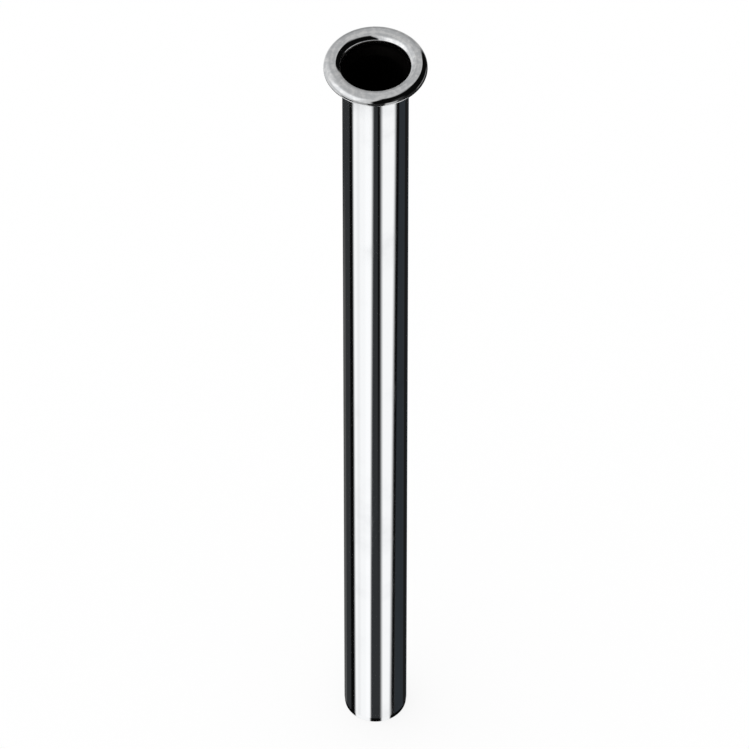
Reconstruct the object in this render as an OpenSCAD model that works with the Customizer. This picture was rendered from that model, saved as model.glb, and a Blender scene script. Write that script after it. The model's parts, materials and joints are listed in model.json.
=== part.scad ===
// Urinal flush pipe: a straight plated tube with a widened, flanged mouth at the top
// and a plain cut end at the bottom. The pipe stands on the cut end, which is centred on the origin.
// All lengths are in millimetres.

/* [Pipe] */
// Length from the cut end to the flange's face
pipe_length = 230; // [60:1:600]
// Outside diameter of the pipe
pipe_d = 15; // [10:0.5:40]
// Thickness of the pipe's wall
pipe_wall = 0.7; // [0.6:0.1:1.5]

/* [Mouth] */
// How much the tube is widened at the mouth, on its radius
mouth_swell = 0.7; // [0.3:0.1:1]
// Length of the straight stretch between the mouth's rounds and its cone
mouth_straight = 0.2; // [0.1:0.1:5]
// Length of the cone that leads back to the pipe's own diameter
mouth_cone = 2.5; // [1:0.1:20]

/* [Flange] */
// How far the flange stands out from the pipe, all round
flange_reach = 4.2; // [3:0.1:6]
// Thickness of the flange, from its face to the shoulder that the nut pulls on
flange_t = 2.2; // [2.2:0.1:6]
// Radius of the rim's upper edge
rim_top_r = 1.8; // [0.8:0.1:1.8]
// Radius of the rim's lower edge
rim_under_r = 0.3; // [0.1:0.1:0.3]
// Width of the flat ring on the face, between the flared mouth and the rim
land_w = 0.2; // [0.1:0.1:1]
// Radius of the fillet between the shoulder and the neck
neck_r = 0.5; // [0.2:0.1:2]

/* [Cut end] */
// Length of the taper that leads the cut end into its seal
lead_length = 1.4; // [0.5:0.1:5]
// How much the taper takes off the pipe's radius
lead_depth = 0.1; // [0.05:0.05:0.4]
// Width of the deburring cut on the bore's edge
deburr = 0.1; // [0.05:0.05:0.15]

/* [Hidden] */
// Facets of the drawn circles
turn_facets = 180;
arc_facets = 120;
// How far a cutting shape reaches past what it cuts
cut_over = 1;
pipe_r = pipe_d / 2;
bore_r = pipe_r - pipe_wall;
mouth_r = bore_r + mouth_swell;
mouth_outer_r = pipe_r + mouth_swell;
flange_r = pipe_r + flange_reach;
shoulder_z = pipe_length - flange_t;
// The flare starts at the mouth's wall and ends where the flat ring begins
flare_r = flange_r - rim_top_r - land_w - mouth_r;
// The cone starts below the flare and the neck's fillet, whichever reaches deeper
cone_top_z = pipe_length - max(flare_r, flange_t + neck_r) - mouth_straight;
cone_end_z = cone_top_z - mouth_cone;

// One side of the pipe cut lengthways, with its corners still sharp: x is the radius, y the height
module sharp_section() {
    polygon([
        [bore_r + deburr, 0],
        [pipe_r - lead_depth, 0],
        [pipe_r, lead_length],
        [pipe_r, cone_end_z],
        [mouth_outer_r, cone_top_z],
        [mouth_outer_r, shoulder_z],
        [flange_r, shoulder_z],
        [flange_r, pipe_length],
        [mouth_r, pipe_length],
        [mouth_r, cone_top_z],
        [bore_r, cone_end_z],
        [bore_r, deburr]
    ]);
}

// What a round of radius r takes off an outside corner. The signs in inward point from the corner into the metal.
module corner_waste(corner, r, inward) {
    centre = corner + r * inward;
    difference() {
        translate([
            min(centre[0], corner[0] - cut_over * inward[0]),
            min(centre[1], corner[1] - cut_over * inward[1])
        ])
            square(r + cut_over);
        translate(centre)
            circle(r = r, $fn = arc_facets);
    }
}

// The metal that fills the inside corner under the flange
module neck_fillet() {
    difference() {
        translate([mouth_outer_r, shoulder_z - neck_r])
            square(neck_r);
        translate([mouth_outer_r + neck_r, shoulder_z - neck_r])
            circle(r = neck_r, $fn = arc_facets);
    }
}

// The same side of the pipe with its flared mouth, rounded rim and neck
module pipe_section() {
    difference() {
        sharp_section();
        corner_waste([mouth_r, pipe_length], flare_r, [1, -1]);
        corner_waste([flange_r, pipe_length], rim_top_r, [-1, -1]);
        corner_waste([flange_r, shoulder_z], rim_under_r, [-1, 1]);
    }
    neck_fillet();
}

// The whole pipe, which is one piece of metal
module flush_pipe() {
    color("silver")
        rotate_extrude($fn = turn_facets)
            pipe_section();
}

flush_pipe();
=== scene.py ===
"""Looks of the urinal flush pipe: a chrome-plated tube that stands on its cut end, with a flared mouth
and a rounded flange on top. One cross section is turned about the axis, its plate gets a finish and its
bore a near-black colour as painted shade, and a studio of light and dark flags gives the plate something to
show.

Lengths are in metres, angles in degrees. The camera stands on the -Y side.
"""

import json
import logging
import math
from dataclasses import dataclass
from enum import IntEnum

import bpy
import numpy as np
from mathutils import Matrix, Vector


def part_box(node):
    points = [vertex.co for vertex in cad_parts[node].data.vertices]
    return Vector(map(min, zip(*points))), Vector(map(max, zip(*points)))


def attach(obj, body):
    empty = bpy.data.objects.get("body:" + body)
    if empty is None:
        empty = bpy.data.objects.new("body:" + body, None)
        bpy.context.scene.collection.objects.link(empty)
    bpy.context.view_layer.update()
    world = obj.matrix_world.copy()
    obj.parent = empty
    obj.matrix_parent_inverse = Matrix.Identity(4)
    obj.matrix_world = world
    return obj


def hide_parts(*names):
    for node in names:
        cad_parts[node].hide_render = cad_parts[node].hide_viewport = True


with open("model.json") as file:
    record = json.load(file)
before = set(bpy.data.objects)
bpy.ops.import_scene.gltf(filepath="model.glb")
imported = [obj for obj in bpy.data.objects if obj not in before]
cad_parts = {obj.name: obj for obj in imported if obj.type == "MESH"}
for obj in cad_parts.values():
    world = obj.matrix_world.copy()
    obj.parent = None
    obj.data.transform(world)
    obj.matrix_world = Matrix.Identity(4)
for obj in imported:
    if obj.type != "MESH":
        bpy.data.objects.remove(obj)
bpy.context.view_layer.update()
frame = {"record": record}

log = logging.getLogger("flush_pipe")
MM = 0.001
HALF_TURN = 180.0
Colour = tuple[float, float, float]
Socket = bpy.types.NodeSocket
Value = float | Socket


class Region(IntEnum):
    """The pipe's two regions, the plate's finish and the bore's painted shade, in the order of the piece's
    material slots.
    """

    PLATE = 0
    BORE = 1


def mount(record: dict, name: str) -> dict:
    """Finds one of the record's mounts.

    Args:
        record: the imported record.
        name: the mount's name.

    Returns:
        The mount's own entry.
    """
    return next(m for m in record["mounts"] if m["name"] == name)


@dataclass(frozen=True)
class Corner:
    """A corner of the cross section, with the round that blends it.

    radius is its distance from the axis, height its place above the cut end, round_r the round's own
    radius, and region the finish of the round and of the straight stretch that follows it.
    """

    radius: float
    height: float
    round_r: float
    region: Region


@dataclass(frozen=True)
class PipeSizes:
    """The pipe's sizes.

    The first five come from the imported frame. The others repeat the part's source, apart from the last
    three, which are small rounds where the source is sharp.
    """

    length: float
    flange_r: float
    pipe_r: float
    bore_r: float
    shoulder_z: float
    mouth_swell: float = 0.7 * MM
    mouth_straight: float = 0.2 * MM
    mouth_cone: float = 2.5 * MM
    rim_top_r: float = 1.8 * MM
    rim_under_r: float = 0.3 * MM
    land_w: float = 0.2 * MM
    neck_r: float = 0.5 * MM
    lead_length: float = 1.4 * MM
    lead_depth: float = 0.1 * MM
    deburr: float = 0.1 * MM
    cone_round: float = 2.0 * MM
    lead_round: float = 1.5 * MM
    edge_round: float = 0.05 * MM

    @classmethod
    def from_frame(cls, record: dict) -> "PipeSizes":
        """Reads the sizes that the frame holds.

        Args:
            record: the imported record.

        Returns:
            The pipe's sizes.
        """
        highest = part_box("flush_pipe")[1]
        return cls(
            length=highest.z,
            flange_r=highest.x,
            pipe_r=mount(record, "spigot")["dims"]["r_mm"] * MM,
            bore_r=mount(record, "water_way")["dims"]["r_mm"] * MM,
            shoulder_z=mount(record, "nut_shoulder")["pos_m"][2],
        )

    @property
    def mouth_r(self) -> float:
        """Radius of the mouth's wall."""
        return self.bore_r + self.mouth_swell

    @property
    def flare_r(self) -> float:
        """Radius of the flare's section."""
        return self.flange_r - self.rim_top_r - self.land_w - self.mouth_r

    @property
    def cone_top_z(self) -> float:
        """Height at which the mouth starts to narrow to the bore."""
        neck_depth = self.length - self.shoulder_z + self.neck_r
        return self.length - max(self.flare_r, neck_depth) - self.mouth_straight

    def corners(self) -> list[Corner]:
        """Lists the section's corners.

        Returns:
            The corners, from the mouth over the rim, down the outside and up the bore.
        """
        neck_r = self.pipe_r + self.mouth_swell
        cone_end_z = self.cone_top_z - self.mouth_cone
        return [
            Corner(self.mouth_r, self.length, self.flare_r, Region.BORE),
            Corner(self.flange_r, self.length, self.rim_top_r, Region.PLATE),
            Corner(self.flange_r, self.shoulder_z, self.rim_under_r, Region.PLATE),
            Corner(neck_r, self.shoulder_z, self.neck_r, Region.PLATE),
            Corner(neck_r, self.cone_top_z, self.cone_round, Region.PLATE),
            Corner(self.pipe_r, cone_end_z, self.cone_round, Region.PLATE),
            Corner(self.pipe_r, self.lead_length, self.lead_round, Region.PLATE),
            Corner(self.pipe_r - self.lead_depth, 0.0, self.edge_round, Region.PLATE),
            Corner(self.bore_r + self.deburr, 0.0, self.edge_round, Region.PLATE),
            Corner(self.bore_r, self.deburr, self.edge_round, Region.BORE),
            Corner(self.bore_r, cone_end_z, self.cone_round, Region.BORE),
            Corner(self.mouth_r, self.cone_top_z, self.cone_round, Region.BORE),
        ]


@dataclass
class Outline:
    """A closed outline of the section.

    Its points and their outward normals are (radius, height) pairs, and each point has a finish.
    """

    points: np.ndarray
    normals: np.ndarray
    regions: np.ndarray


@dataclass
class FlushPipe:
    """The pipe, turned from its rounded cross section.

    turns is how many points go round. bend_step is the angle between two points of a round, bend_least the
    shortest way between them, which keeps tiny rounds plain, and fewest_bends the least that a round gets.
    stretch_step is the way between two points of a straight.
    """

    sizes: PipeSizes
    turns: int = 360
    bend_step: float = 3.0
    bend_least: float = 0.01 * MM
    fewest_bends: int = 4
    stretch_step: float = 8.0 * MM

    def outline(self) -> Outline:
        """Rounds the section's corners and joins them by straight stretches.

        At a corner the path turns by the angle between its two sides. The round's arc starts radius times
        the tangent of half that angle before the corner. A point on it is the arc's centre plus the outward
        normal times the radius, which is negative in a hollow corner. The normal turns evenly on the way.

        Returns:
            The outline, which runs with the metal on its right.
        """
        corners = self.sizes.corners()
        at = np.array([(c.radius, c.height) for c in corners])
        leaving = np.roll(at, -1, axis=0) - at
        leaving /= np.linalg.norm(leaving, axis=1, keepdims=True)
        arriving = np.roll(leaving, 1, axis=0)
        arcs = [self.round_off(c, p, a, b) for c, p, a, b in zip(corners, at, arriving, leaving)]
        points, normals, regions = [], [], []
        for i, corner in enumerate(corners):
            arc, arc_normals = arcs[i]
            start, end = arc[-1], arcs[(i + 1) % len(arcs)][0][0]
            pieces = max(1, round(float(np.linalg.norm(end - start)) / self.stretch_step))
            share = np.linspace(0.0, 1.0, pieces + 1)[1:-1, None]
            stretch = start + share * (end - start)
            points += [arc, stretch]
            normals += [arc_normals, np.repeat(arc_normals[-1:], len(stretch), axis=0)]
            regions += [np.full(len(arc) + len(stretch), int(corner.region))]
        return Outline(np.concatenate(points), np.concatenate(normals), np.concatenate(regions))

    def round_off(
        self, corner: Corner, at: np.ndarray, arriving: np.ndarray, leaving: np.ndarray
    ) -> tuple[np.ndarray, np.ndarray]:
        """Makes one corner's arc.

        Args:
            corner: the corner.
            at: its place.
            arriving: unit direction of the side that ends there.
            leaving: unit direction of the side that starts there.

        Returns:
            The arc's points and their outward normals.
        """
        turn = math.atan2(arriving[0] * leaving[1] - arriving[1] * leaving[0], float(arriving @ leaving))
        by_angle = abs(math.degrees(turn)) / self.bend_step
        by_length = abs(turn) * corner.round_r / self.bend_least
        steps = max(self.fewest_bends, math.ceil(min(by_angle, by_length)))
        angle = np.linspace(0.0, turn, steps + 1)[:, None]
        first = np.array([-arriving[1], arriving[0]])
        across = np.array([-first[1], first[0]])
        normals = np.cos(angle) * first + np.sin(angle) * across
        radius = math.copysign(corner.round_r, -turn)
        start = at - arriving * corner.round_r * math.tan(abs(turn) / 2)
        return start - radius * first + radius * normals, normals

    def build(self, materials: list[bpy.types.Material]) -> bpy.types.Object:
        """Turns the outline about the axis into one closed mesh.

        A point is (radius cos a, radius sin a, height), with a running once round from the back. The
        piece's own UV map holds the share of the turn and the share of the way along the outline.

        Args:
            materials: the plate's finish and the bore's material with painted shade, in the order of
                Region.

        Returns:
            The pipe's object.
        """
        outline = self.outline()
        rings, turns = len(outline.points), self.turns
        angle = math.pi / 2 + np.arange(turns) * (2 * math.pi / turns)
        circle = np.stack([np.cos(angle), np.sin(angle)], axis=-1)
        places = self.swept(outline.points, circle)
        normals = self.swept(outline.normals, circle)
        i, j = np.meshgrid(np.arange(rings), np.arange(turns), indexing="ij")
        below, beside = (i + 1) % rings, (j + 1) % turns
        here, under = i * turns, below * turns
        faces = np.stack([here + j, under + j, under + beside, here + beside], axis=-1)
        mesh = bpy.data.meshes.new("plated_pipe")
        mesh.from_pydata(places.reshape(-1, 3), [], faces.reshape(-1, 4))
        steps = np.linalg.norm(np.roll(outline.points, -1, axis=0) - outline.points, axis=1)
        along = np.concatenate([[0.0], np.cumsum(steps) / steps.sum()])
        u = np.stack([j, j, j + 1, j + 1], axis=-1) / turns
        v = np.stack([along[i], along[i + 1], along[i + 1], along[i]], axis=-1)
        mesh.uv_layers.new(name="turned").uv.foreach_set("vector", np.stack([u, v], axis=-1).ravel())
        mesh.polygons.foreach_set("material_index", np.repeat(outline.regions, turns))
        mesh.shade_smooth()
        mesh.normals_split_custom_set_from_vertices(normals.reshape(-1, 3))
        for material in materials:
            mesh.materials.append(material)
        piece = bpy.data.objects.new("plated_pipe", mesh)
        bpy.context.scene.collection.objects.link(piece)
        log.info("plated_pipe: %d rings of %d, %d faces", rings, turns, len(mesh.polygons))
        return piece

    @staticmethod
    def swept(pairs: np.ndarray, circle: np.ndarray) -> np.ndarray:
        """Carries (outward, upward) pairs round the circle.

        Args:
            pairs: one pair for each ring.
            circle: unit directions (x, y) of the points that go round.

        Returns:
            A rings by turns by 3 array.
        """
        outward = pairs[:, None, 0, None] * circle[None, :, :]
        upward = np.broadcast_to(pairs[:, None, 1, None], outward.shape[:2] + (1,))
        return np.concatenate([outward, upward], axis=-1)


class NodeBench:
    """Adds nodes to one node tree, and wires them."""

    def __init__(self, tree: bpy.types.NodeTree) -> None:
        """Starts on a tree, which is emptied."""
        self.tree = tree
        tree.nodes.clear()

    def add(self, kind: str, **settings: object) -> bpy.types.Node:
        """Adds a node.

        Args:
            kind: the node's type name.
            settings: the node's own settings.

        Returns:
            The node.
        """
        node = self.tree.nodes.new(kind)
        for name, value in settings.items():
            setattr(node, name, value)
        return node

    def feed(self, target: Socket, value: object) -> None:
        """Links a socket to the target, or sets the target's own value.

        Args:
            target: an input.
            value: a socket, or the input's own value.
        """
        if isinstance(value, bpy.types.NodeSocket):
            self.tree.links.new(value, target)
        else:
            target.default_value = value

    def math(self, operation: str, *values: Value) -> Socket:
        """Adds a Math node.

        Args:
            operation: what it works out.
            values: numbers or sockets, in the order of its inputs.

        Returns:
            Its result.
        """
        node = self.add("ShaderNodeMath", operation=operation)
        for target, value in zip(node.inputs, values):
            self.feed(target, value)
        return node.outputs[0]

    def ease(self, value: Value, start: Value, end: Value) -> Socket:
        """Adds a smooth step, which is 0 up to the start and 1 past the end."""
        return self.span(value, start, end, 0.0, 1.0, "SMOOTHSTEP")

    def span(
        self, value: Value, start: Value, end: Value, low: Value, high: Value, way: str = "LINEAR"
    ) -> Socket:
        """Adds a Map Range node, which holds its result past both ends.

        Args:
            value: what is measured.
            start: the value where the range starts.
            end: the value where it ends.
            low: the result up to the start.
            high: the result past the end.
            way: the node's interpolation.

        Returns:
            The result.
        """
        node = self.add("ShaderNodeMapRange", interpolation_type=way)
        for target, given in zip(node.inputs, (value, start, end, low, high)):
            self.feed(target, given)
        return node.outputs[0]

    def bump(self, height: Socket, distance: float) -> Socket:
        """Adds a Bump node.

        Args:
            height: a height from 0 to 1.
            distance: how far a height of 1 stands out.

        Returns:
            The bumped normal.
        """
        node = self.add("ShaderNodeBump")
        node.inputs["Strength"].default_value = 1.0
        node.inputs["Distance"].default_value = distance
        self.feed(node.inputs["Height"], height)
        return node.outputs["Normal"]

    def mix(self, share: Value, first: object, second: object) -> Socket:
        """Mixes two colours.

        Args:
            share: how much of the second colour shows.
            first: a colour or a socket.
            second: a colour or a socket.

        Returns:
            The mixed colour.
        """
        node = self.add("ShaderNodeMix", data_type="RGBA")
        self.feed(node.inputs["Factor"], share)
        for name, colour in (("A", first), ("B", second)):
            target = next(s for s in node.inputs if s.name == name and s.type == "RGBA")
            self.feed(target, (*colour, 1.0) if isinstance(colour, tuple) else colour)
        return next(s for s in node.outputs if s.type == "RGBA")

    def above_cut_end(self) -> Socket:
        """Adds what reads the height above the cut end, from Object coordinates.

        Returns:
            The height.
        """
        split = self.add("ShaderNodeSeparateXYZ")
        self.feed(split.inputs[0], self.add("ShaderNodeTexCoord").outputs["Object"])
        return split.outputs["Z"]


def new_group(name: str, inputs: dict[str, str], outputs: dict[str, str]) -> tuple[NodeBench, dict, dict]:
    """Starts a shader node group.

    Args:
        name: the group's name.
        inputs: socket type by input name.
        outputs: socket type by output name.

    Returns:
        The group's bench, its input sockets by name and its output sockets by name.
    """
    tree = bpy.data.node_groups.new(name, "ShaderNodeTree")
    bench = NodeBench(tree)
    for label, kind in inputs.items():
        tree.interface.new_socket(label, in_out="INPUT", socket_type=kind)
    for label, kind in outputs.items():
        tree.interface.new_socket(label, in_out="OUTPUT", socket_type=kind)
    given = bench.add("NodeGroupInput")
    made = bench.add("NodeGroupOutput")
    return bench, {s.name: s for s in given.outputs if s.name}, {s.name: s for s in made.inputs if s.name}


@dataclass(frozen=True)
class TurnedMarks:
    """The marks that turning and polishing leave.

    line_change is how much the lines change round the axis, and streak_change how fast the streaks change
    along the section. streak_scale makes the streaks coarser. The details are the noises' finer levels.
    """

    line_change: float = 0.8
    streak_change: float = 14.0
    streak_scale: float = 0.3
    line_detail: float = 3.0
    streak_detail: float = 2.0
    haze_detail: float = 4.0

    def group(self) -> bpy.types.ShaderNodeTree:
        """Makes the marks' node group, on Object coordinates.

        Place along the section is the distance from the axis plus the height, so lines run round the pipe
        both on the tube and on the flange. Lines is fine noise along the section, Streaks is fine noise
        round the axis, and Haze is broad cloudy noise. All three run from 0 to 1.

        Returns:
            The group, with inputs Lines per metre, Streaks per turn and Clouds per metre.
        """
        bench, given, made = new_group(
            "turned_marks",
            {
                "Lines per metre": "NodeSocketFloat",
                "Streaks per turn": "NodeSocketFloat",
                "Clouds per metre": "NodeSocketFloat",
            },
            {"Lines": "NodeSocketFloat", "Streaks": "NodeSocketFloat", "Haze": "NodeSocketFloat"},
        )
        place = bench.add("ShaderNodeTexCoord").outputs["Object"]
        flat = bench.add("ShaderNodeVectorMath", operation="MULTIPLY")
        bench.feed(flat.inputs[0], place)
        flat.inputs[1].default_value = (1.0, 1.0, 0.0)
        distance = bench.add("ShaderNodeVectorMath", operation="LENGTH")
        bench.feed(distance.inputs[0], flat.outputs["Vector"])
        heading = bench.add("ShaderNodeVectorMath", operation="NORMALIZE")
        bench.feed(heading.inputs[0], flat.outputs["Vector"])
        aim = bench.add("ShaderNodeSeparateXYZ")
        bench.feed(aim.inputs[0], heading.outputs["Vector"])
        section = bench.math("ADD", distance.outputs["Value"], bench.above_cut_end())
        along = bench.math("MULTIPLY", section, given["Lines per metre"])
        lines = self.noise_round(bench, aim, self.line_change, along, 1.0, self.line_detail)
        bench.feed(made["Lines"], lines)
        along = bench.math("MULTIPLY", section, self.streak_change)
        round_axis = given["Streaks per turn"]
        streaks = self.noise_round(bench, aim, round_axis, along, self.streak_scale, self.streak_detail)
        bench.feed(made["Streaks"], streaks)
        haze = bench.add("ShaderNodeTexNoise")
        bench.feed(haze.inputs["Vector"], place)
        bench.feed(haze.inputs["Scale"], given["Clouds per metre"])
        haze.inputs["Detail"].default_value = self.haze_detail
        bench.feed(made["Haze"], haze.outputs["Fac"])
        return bench.tree

    @staticmethod
    def noise_round(
        bench: NodeBench, aim: bpy.types.Node, round_axis: Value, along: Socket, scale: float, detail: float
    ) -> Socket:
        """Adds noise at (round_axis cos a, round_axis sin a, along), with a the angle round the axis.

        Args:
            bench: the group's bench.
            aim: the node that splits the unit direction away from the axis.
            round_axis: how much the noise changes round the axis.
            along: the place along the section.
            scale: the noise's scale.
            detail: its finer levels.

        Returns:
            The noise, from 0 to 1.
        """
        at = bench.add("ShaderNodeCombineXYZ")
        bench.feed(at.inputs["X"], bench.math("MULTIPLY", aim.outputs["X"], round_axis))
        bench.feed(at.inputs["Y"], bench.math("MULTIPLY", aim.outputs["Y"], round_axis))
        bench.feed(at.inputs["Z"], along)
        noise = bench.add("ShaderNodeTexNoise")
        bench.feed(noise.inputs["Vector"], at.outputs["Vector"])
        noise.inputs["Scale"].default_value = scale
        noise.inputs["Detail"].default_value = detail
        return noise.outputs["Fac"]


def new_material(name: str) -> tuple[bpy.types.Material, NodeBench, bpy.types.Node]:
    """Starts a material.

    Args:
        name: the material's name.

    Returns:
        The material, its bench and its Principled BSDF, which is wired to the output.
    """
    material = bpy.data.materials.new(name)
    material.use_nodes = True
    bench = NodeBench(material.node_tree)
    shader = bench.add("ShaderNodeBsdfPrincipled")
    output = bench.add("ShaderNodeOutputMaterial")
    bench.feed(output.inputs["Surface"], shader.outputs["BSDF"])
    return material, bench, shader


@dataclass(frozen=True)
class ChromePlate:
    """Polished chrome plate, with the faint lines that polishing leaves and a flange mottled by its washer.

    Haze dulls the plate where the clouds are between haze_from and haze_full. On the flange the sum of
    lines and clouds takes it from bright_mottle at mottle_low to dull_mottle at mottle_high. The mottle
    starts rub_depth below the flange's face and is full from rub_full up.
    """

    sizes: PipeSizes
    colour: Colour = (0.88, 0.89, 0.90)
    worn_colour: Colour = (0.80, 0.81, 0.825)
    lines_per_metre: float = 2600.0
    clouds_per_metre: float = 70.0
    haze_from: float = 0.48
    haze_full: float = 0.78
    smooth: float = 0.045
    hazy: float = 0.10
    line_height: float = 0.00004 * MM
    bright_mottle: Colour = (0.99, 0.99, 0.99)
    dull_mottle: Colour = (0.74, 0.755, 0.77)
    mottle_lines: float = 1500.0
    mottle_clouds: float = 900.0
    mottle_low: float = 0.8
    mottle_high: float = 1.2
    rub_depth: float = 2.4 * MM
    rub_full: float = 1.2 * MM

    def look(self, bench: NodeBench, marks: bpy.types.ShaderNodeTree) -> tuple[Socket, Socket, Socket]:
        """Adds what the plate looks like to a material.

        Args:
            bench: the material's bench.
            marks: the group of turned marks.

        Returns:
            The plate's colour, its roughness and the height of its lines, from 0 to 1.
        """
        polish = bench.add("ShaderNodeGroup", node_tree=marks)
        polish.inputs["Lines per metre"].default_value = self.lines_per_metre
        polish.inputs["Clouds per metre"].default_value = self.clouds_per_metre
        haze = bench.ease(polish.outputs["Haze"], self.haze_from, self.haze_full)
        hazed = bench.mix(haze, self.colour, self.worn_colour)
        rubbing = bench.add("ShaderNodeGroup", node_tree=marks)
        rubbing.inputs["Lines per metre"].default_value = self.mottle_lines
        rubbing.inputs["Clouds per metre"].default_value = self.mottle_clouds
        both = bench.math("ADD", rubbing.outputs["Lines"], rubbing.outputs["Haze"])
        dull = bench.ease(both, self.mottle_low, self.mottle_high)
        mottled = bench.mix(dull, self.bright_mottle, self.dull_mottle)
        face_z = self.sizes.length
        on_flange = bench.ease(bench.above_cut_end(), face_z - self.rub_depth, face_z - self.rub_full)
        colour = bench.mix(on_flange, hazed, mottled)
        return colour, bench.span(haze, 0.0, 1.0, self.smooth, self.hazy), polish.outputs["Lines"]

    def build(self, marks: bpy.types.ShaderNodeTree) -> bpy.types.Material:
        """Makes the material.

        Args:
            marks: the group of turned marks.

        Returns:
            The plate's material.
        """
        material, bench, shader = new_material("polished_chrome")
        colour, roughness, lines = self.look(bench, marks)
        bench.feed(shader.inputs["Base Color"], colour)
        bench.feed(shader.inputs["Roughness"], roughness)
        shader.inputs["Metallic"].default_value = 1.0
        bench.feed(shader.inputs["Normal"], bench.bump(lines, self.line_height))
        return material


@dataclass(frozen=True)
class PaintedShadeBore:
    """The flare and the bore: chrome colour near both ends and near-black colour between, which is painted
    shade deep in the bore, with the streaks of drawn metal as bumps.

    The chrome is whole down to the shallower depth below the flange's face, and the painted shade is full
    at the deeper one. From the cut end the chrome fades into the painted shade over the end's reach.
    """

    sizes: PipeSizes
    plate: ChromePlate
    # Near-black colour: painted shade deep in the flare and the bore, not the metal's own colour
    colour: Colour = (0.055, 0.050, 0.046)
    roughness: float = 0.38
    streaks_per_turn: float = 40.0
    streak_height: float = 0.004 * MM
    shade_start_depth: float = 1.3 * MM
    shade_full_depth: float = 2.3 * MM
    unshaded_end_reach: float = 2.5 * MM

    def build(self, marks: bpy.types.ShaderNodeTree) -> bpy.types.Material:
        """Makes the material.

        Args:
            marks: the group of turned marks.

        Returns:
            The bore's material.
        """
        material, bench, shader = new_material("bore_painted_shade")
        drawing = bench.add("ShaderNodeGroup", node_tree=marks)
        drawing.inputs["Streaks per turn"].default_value = self.streaks_per_turn
        colour, roughness, lines = self.plate.look(bench, marks)
        height, face_z = bench.above_cut_end(), self.sizes.length
        # Painted shade: the bore's colour turns near-black below the mouth and away from the cut end, so
        # the chrome's colour shows only near both ends
        unshaded_near_mouth = bench.ease(height, face_z - self.shade_full_depth, face_z - self.shade_start_depth)
        unshaded = bench.math("MAXIMUM", unshaded_near_mouth, bench.ease(height, self.unshaded_end_reach, 0.0))
        bench.feed(shader.inputs["Base Color"], bench.mix(unshaded, self.colour, colour))
        bench.feed(shader.inputs["Roughness"], bench.span(unshaded, 0.0, 1.0, self.roughness, roughness))
        shader.inputs["Metallic"].default_value = 1.0
        drawn = bench.math("MULTIPLY", drawing.outputs["Streaks"], bench.math("SUBTRACT", 1.0, unshaded))
        turned = bench.math("MULTIPLY", lines, self.plate.line_height / self.streak_height)
        height_map = bench.math("ADD", drawn, turned)
        bench.feed(shader.inputs["Normal"], bench.bump(height_map, self.streak_height))
        return material


@dataclass(frozen=True)
class Edge:
    """A flag's side: its azimuths at two elevations, with a straight line between and upright past them."""

    azimuth_low: float
    azimuth_high: float
    low: float = -52.0
    high: float = -48.0


@dataclass(frozen=True)
class Flag:
    """A light or dark panel of the studio, given by directions as the pipe sees them.

    Azimuth 0 is towards the camera and grows to its right, and elevation 0 is the horizon. tone is the
    light that the flag sends, where 1 is white. Its sides fade over side_blur, and its top and bottom over
    level_blur.
    """

    name: str
    tone: Colour
    left: Edge
    right: Edge
    bottom: float
    top: float
    side_blur: float = 6.0
    level_blur: float = 6.0


def grey(value: float, cool: float = 0.0) -> Colour:
    """A grey, with cool as the share by which blue exceeds red."""
    return (value * (1 - cool / 2), value, value * (1 + cool / 2))


def upright(azimuth: float) -> Edge:
    """An edge that has the same azimuth all the way."""
    return Edge(azimuth, azimuth)


WHITE = grey(1.05)
CHARCOAL = grey(0.034, 0.12)
NAVY = grey(0.032, 0.32)
BLACK = grey(0.003)
ROUND_FROM = upright(-HALF_TURN - 1)
ROUND_TO = upright(HALF_TURN + 1)
# Below straight down, so that a flag has no bottom there
DOWN = -100
FLOOR_TOP = -46
PANEL_TOP = -46.5
PANEL_FOOT = -54
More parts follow.
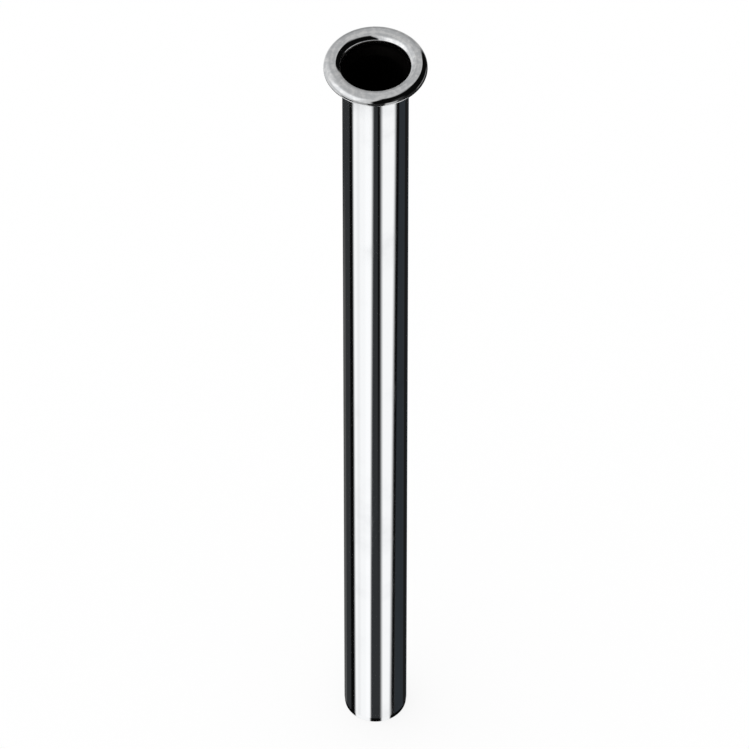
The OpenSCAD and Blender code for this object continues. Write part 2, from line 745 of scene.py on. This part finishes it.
# Each flag stands in front of the ones before it. After its tone come its left and right sides, its bottom
# and top, and the two blurs.
FLAGS = (
    # What the flange and the rim see
    Flag("left_softbox", grey(0.70), Edge(-137, -145, 0, 60), Edge(-8, -6, 0, 57), -50, 52, 30, 26),
    Flag("left_core", grey(1.05), upright(-98), Edge(-31, -22, 5, 50), 0, 42, 22, 18),
    Flag("back_shade", grey(0.36), upright(153), Edge(201, 186, 0, 50), -18, 31, 8, 29),
    Flag("right_flag", BLACK, Edge(-8, 14, 20, 52), Edge(150, 110, 33, 54), DOWN, 57, 9, 14),
    Flag("front_floor", grey(0.02), Edge(-82, -62, -60, 0), upright(152), -101, -13, 10, 12),
    Flag("right_gleam", grey(0.035), upright(34), upright(55), DOWN, 10, 12, 10),
    # What the pipe sees from a low or a rear camera
    Flag("low_left_light", grey(0.66), upright(-76), upright(-45), -25, -8, 6, 5),
    Flag("low_left_strip", grey(0.42), upright(-46), upright(-16), -44, -15, 6, 6),
    Flag("low_right_strip", grey(0.45), upright(19), upright(43), -44, -14, 6, 6),
    Flag("side_strip", grey(0.20), upright(88), upright(128), -24, -13, 8, 5),
    Flag("back_light", grey(0.79), upright(158), upright(220), -52, -20, 20, 16),
    # What the pipe sees from the photograph's angle
    Flag("floor", CHARCOAL, ROUND_FROM, ROUND_TO, DOWN, FLOOR_TOP, 1, 2),
    Flag("right_floor", NAVY, upright(78), upright(176), DOWN, FLOOR_TOP, 6, 1),
    Flag("left_edge", grey(0.10), upright(-170), upright(-135), DOWN, -48.9, 8, 1),
    Flag("left_seam", BLACK, upright(-103), upright(-84), DOWN, FLOOR_TOP, 6, 2),
    Flag("middle_seam", BLACK, upright(8), upright(15), -50.5, FLOOR_TOP, 5, 2),
    Flag("right_seam", BLACK, Edge(62, 80), Edge(72, 92), DOWN, FLOOR_TOP, 6, 2),
    Flag("outer_seam", grey(0.012), upright(125), upright(150), DOWN, FLOOR_TOP, 6, 2),
    Flag("below", BLACK, ROUND_FROM, ROUND_TO, -72, -52.9, 1, 1),
    Flag("left_panel", WHITE, Edge(-80, -85.3), Edge(-21, -9), PANEL_FOOT, PANEL_TOP, 12, 1),
    Flag("left_fold", grey(0.95), upright(-69), upright(-57), PANEL_FOOT, PANEL_TOP, 10, 1),
    Flag("left_glow", grey(1.10), upright(-36), upright(-19), PANEL_FOOT, PANEL_TOP, 10, 1),
    Flag("right_panel", WHITE, Edge(22.4, 21.2), Edge(56, 74.5), PANEL_FOOT, PANEL_TOP, 15, 1),
    # What the taper at the cut end and a camera above see
    Flag("left_end", WHITE, upright(-88), upright(-22), DOWN, PANEL_FOOT, 10, 1),
    Flag("right_end", WHITE, upright(25), upright(62), DOWN, PANEL_FOOT, 10, 1),
    Flag("back_end", grey(0.55), upright(160), upright(215), DOWN, -66, 12, 6),
)


@dataclass
class Studio:
    """The studio: its surroundings, whose upper_tone shows where no flag stands, and its pale floor.

    floor_drop keeps the floor clear of the cut end, and floor_shade is the share of the floor's white that
    a shadow can take.
    """

    flags: tuple[Flag, ...] = FLAGS
    upper_tone: Colour = (0.50, 0.50, 0.50)
    floor_half: float = 3.0
    floor_drop: float = 0.02 * MM
    floor_colour: Colour = (0.8, 0.8, 0.8)
    floor_shade: float = 0.2

    def flag_group(self) -> bpy.types.ShaderNodeTree:
        """Makes the group that tells where a flag stands.

        Azimuth is measured from the flag's middle and wrapped to half a turn each way. Each side's azimuth
        is a straight line between two elevations. The mask is the product of four smooth steps, one for
        each of its sides, its bottom and its top.

        Returns:
            The group.
        """
        names = (
            "Azimuth", "Elevation", "Middle", "Left low", "Left high", "Left from", "Left to",
            "Right low", "Right high", "Right from", "Right to", "Bottom", "Top", "Side blur", "Level blur",
        )
        bench, given, made = new_group(
            "studio_flag", {name: "NodeSocketFloat" for name in names}, {"Mask": "NodeSocketFloat"}
        )
        from_middle = bench.math("SUBTRACT", given["Azimuth"], given["Middle"])
        turn = bench.math("WRAP", from_middle, HALF_TURN, -HALF_TURN)
        side = bench.math("MULTIPLY", given["Side blur"], 0.5)
        level = bench.math("MULTIPLY", given["Level blur"], 0.5)
        height, low, high = given["Elevation"], given["Bottom"], given["Top"]
        left, right = (
            bench.span(height, *(given[f"{side_name} {end}"] for end in ("from", "to", "low", "high")))
            for side_name in ("Left", "Right")
        )
        masks = [
            bench.ease(turn, bench.math("SUBTRACT", left, side), bench.math("ADD", left, side)),
            bench.ease(turn, bench.math("ADD", right, side), bench.math("SUBTRACT", right, side)),
            bench.ease(height, bench.math("SUBTRACT", low, level), bench.math("ADD", low, level)),
            bench.ease(height, bench.math("ADD", high, level), bench.math("SUBTRACT", high, level)),
        ]
        sides = bench.math("MULTIPLY", masks[0], masks[1])
        levels = bench.math("MULTIPLY", masks[2], masks[3])
        bench.feed(made["Mask"], bench.math("MULTIPLY", sides, levels))
        return bench.tree

    def surroundings(self) -> None:
        """Makes the world: plain white, apart from what shows in the metal, which is the flags in order."""
        world = bpy.data.worlds.new("studio")
        bpy.context.scene.world = world
        world.use_nodes = True
        world.cycles.sampling_method = "NONE"
        bench = NodeBench(world.node_tree)
        direction = bench.add("ShaderNodeSeparateXYZ")
        bench.feed(direction.inputs[0], bench.add("ShaderNodeTexCoord").outputs["Generated"])
        x, y, z = (direction.outputs[name] for name in "XYZ")
        azimuth = bench.math("DEGREES", bench.math("ARCTAN2", x, bench.math("MULTIPLY", y, -1.0)))
        elevation = bench.math("DEGREES", bench.math("ARCSINE", z))
        group = self.flag_group()
        seen: object = self.upper_tone
        for flag in self.flags:
            seen = bench.mix(self.mask(bench, group, flag, azimuth, elevation), seen, flag.tone)
        plain = bench.add("ShaderNodeBackground")
        plain.inputs["Color"].default_value = (1.0, 1.0, 1.0, 1.0)
        in_metal = bench.add("ShaderNodeBackground")
        bench.feed(in_metal.inputs["Color"], seen)
        choice = bench.add("ShaderNodeMixShader")
        bench.feed(choice.inputs[0], bench.add("ShaderNodeLightPath").outputs["Is Glossy Ray"])
        bench.feed(choice.inputs[1], plain.outputs[0])
        bench.feed(choice.inputs[2], in_metal.outputs[0])
        output = bench.add("ShaderNodeOutputWorld")
        bench.feed(output.inputs["Surface"], choice.outputs[0])
        log.info("studio: %d flags", len(self.flags))

    @staticmethod
    def mask(
        bench: NodeBench, group: bpy.types.ShaderNodeTree, flag: Flag, azimuth: Socket, elevation: Socket
    ) -> Socket:
        """Places the flag group for one flag.

        Args:
            bench: the world's bench.
            group: the flag group.
            flag: the flag.
            azimuth: the direction's azimuth.
            elevation: the direction's elevation.

        Returns:
            The flag's mask.
        """
        node = bench.add("ShaderNodeGroup", node_tree=group, label=flag.name)
        middle = (flag.left.azimuth_low + flag.right.azimuth_low) / 2
        bench.feed(node.inputs["Azimuth"], azimuth)
        bench.feed(node.inputs["Elevation"], elevation)
        node.inputs["Middle"].default_value = middle
        for name, edge in (("Left", flag.left), ("Right", flag.right)):
            node.inputs[f"{name} low"].default_value = edge.azimuth_low - middle
            node.inputs[f"{name} high"].default_value = edge.azimuth_high - middle
            node.inputs[f"{name} from"].default_value = edge.low
            node.inputs[f"{name} to"].default_value = edge.high
        node.inputs["Bottom"].default_value = flag.bottom
        node.inputs["Top"].default_value = flag.top
        node.inputs["Side blur"].default_value = flag.side_blur
        node.inputs["Level blur"].default_value = flag.level_blur
        return node.outputs["Mask"]

    def floor(self) -> bpy.types.Object:
        """Makes the pale floor.

        For the camera it is white, partly by its own light, so that it keeps only a soft shadow. For other
        rays it is plain pale ground.

        Returns:
            The floor's object.
        """
        half, height = self.floor_half, -self.floor_drop
        corners = [(x * half, y * half, height) for x, y in ((-1, -1), (1, -1), (1, 1), (-1, 1))]
        mesh = bpy.data.meshes.new("floor")
        mesh.from_pydata(corners, [], [(0, 1, 2, 3)])
        floor = bpy.data.objects.new("floor", mesh)
        bpy.context.scene.collection.objects.link(floor)
        floor.visible_glossy = False
        material = bpy.data.materials.new("pale_floor")
        material.use_nodes = True
        bench = NodeBench(material.node_tree)
        ground = bench.add("ShaderNodeBsdfDiffuse")
        ground.inputs["Color"].default_value = (*self.floor_colour, 1.0)
        shaded = bench.add("ShaderNodeBsdfDiffuse")
        shaded.inputs["Color"].default_value = (self.floor_shade,) * 3 + (1.0,)
        glow = bench.add("ShaderNodeEmission")
        glow.inputs["Color"].default_value = (1.0 - self.floor_shade,) * 3 + (1.0,)
        both = bench.add("ShaderNodeAddShader")
        bench.feed(both.inputs[0], shaded.outputs[0])
        bench.feed(both.inputs[1], glow.outputs[0])
        choice = bench.add("ShaderNodeMixShader")
        bench.feed(choice.inputs[0], bench.add("ShaderNodeLightPath").outputs["Is Camera Ray"])
        bench.feed(choice.inputs[1], ground.outputs[0])
        bench.feed(choice.inputs[2], both.outputs[0])
        output = bench.add("ShaderNodeOutputMaterial")
        bench.feed(output.inputs["Surface"], choice.outputs[0])
        mesh.materials.append(material)
        return floor


@dataclass(frozen=True)
class PhotoCamera:
    """The camera at the photograph's viewing angle.

    It stands the distance off the point stands_off, at the elevation, and is aimed at a point near it. near
    and far are where its view starts and ends.
    """

    elevation: float = 49.92
    distance: float = 2.176
    stands_off: tuple[float, float, float] = (0.0, 0.0, 0.115)
    aim: tuple[float, float, float] = (-0.00023, 0.0, 0.1215)
    focal_px: float = 9329.0
    frame_px: float = 749.0
    near: float = 0.1
    far: float = 20.0

    def build(self) -> None:
        """Makes the camera and makes it the scene's."""
        data = bpy.data.cameras.new("camera")
        data.lens = self.focal_px / self.frame_px * data.sensor_width
        data.clip_start = self.near
        data.clip_end = self.far
        camera = bpy.data.objects.new("camera", data)
        bpy.context.scene.collection.objects.link(camera)
        rise = math.radians(self.elevation)
        back = Vector((0.0, -math.cos(rise), math.sin(rise)))
        camera.location = Vector(self.stands_off) + back * self.distance
        camera.rotation_euler = (Vector(self.aim) - camera.location).to_track_quat("-Z", "Y").to_euler()
        bpy.context.scene.camera = camera


def main() -> None:
    """Builds the plate's finish and the bore's painted shade, the pipe and the studio, in that order."""
    logging.basicConfig(level=logging.INFO, format="%(name)s: %(message)s")
    bpy.context.scene.view_settings.view_transform = "Standard"
    sizes = PipeSizes.from_frame(frame["record"])
    marks = TurnedMarks().group()
    plate = ChromePlate(sizes)
    region_materials = {
        Region.PLATE: plate.build(marks),
        Region.BORE: PaintedShadeBore(sizes, plate).build(marks),
    }
    pipe = FlushPipe(sizes).build([region_materials[region] for region in Region])
    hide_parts("flush_pipe")
    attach(pipe, "root")
    studio = Studio()
    studio.surroundings()
    studio.floor()
    PhotoCamera().build()


if __name__ == "__main__":
    main()
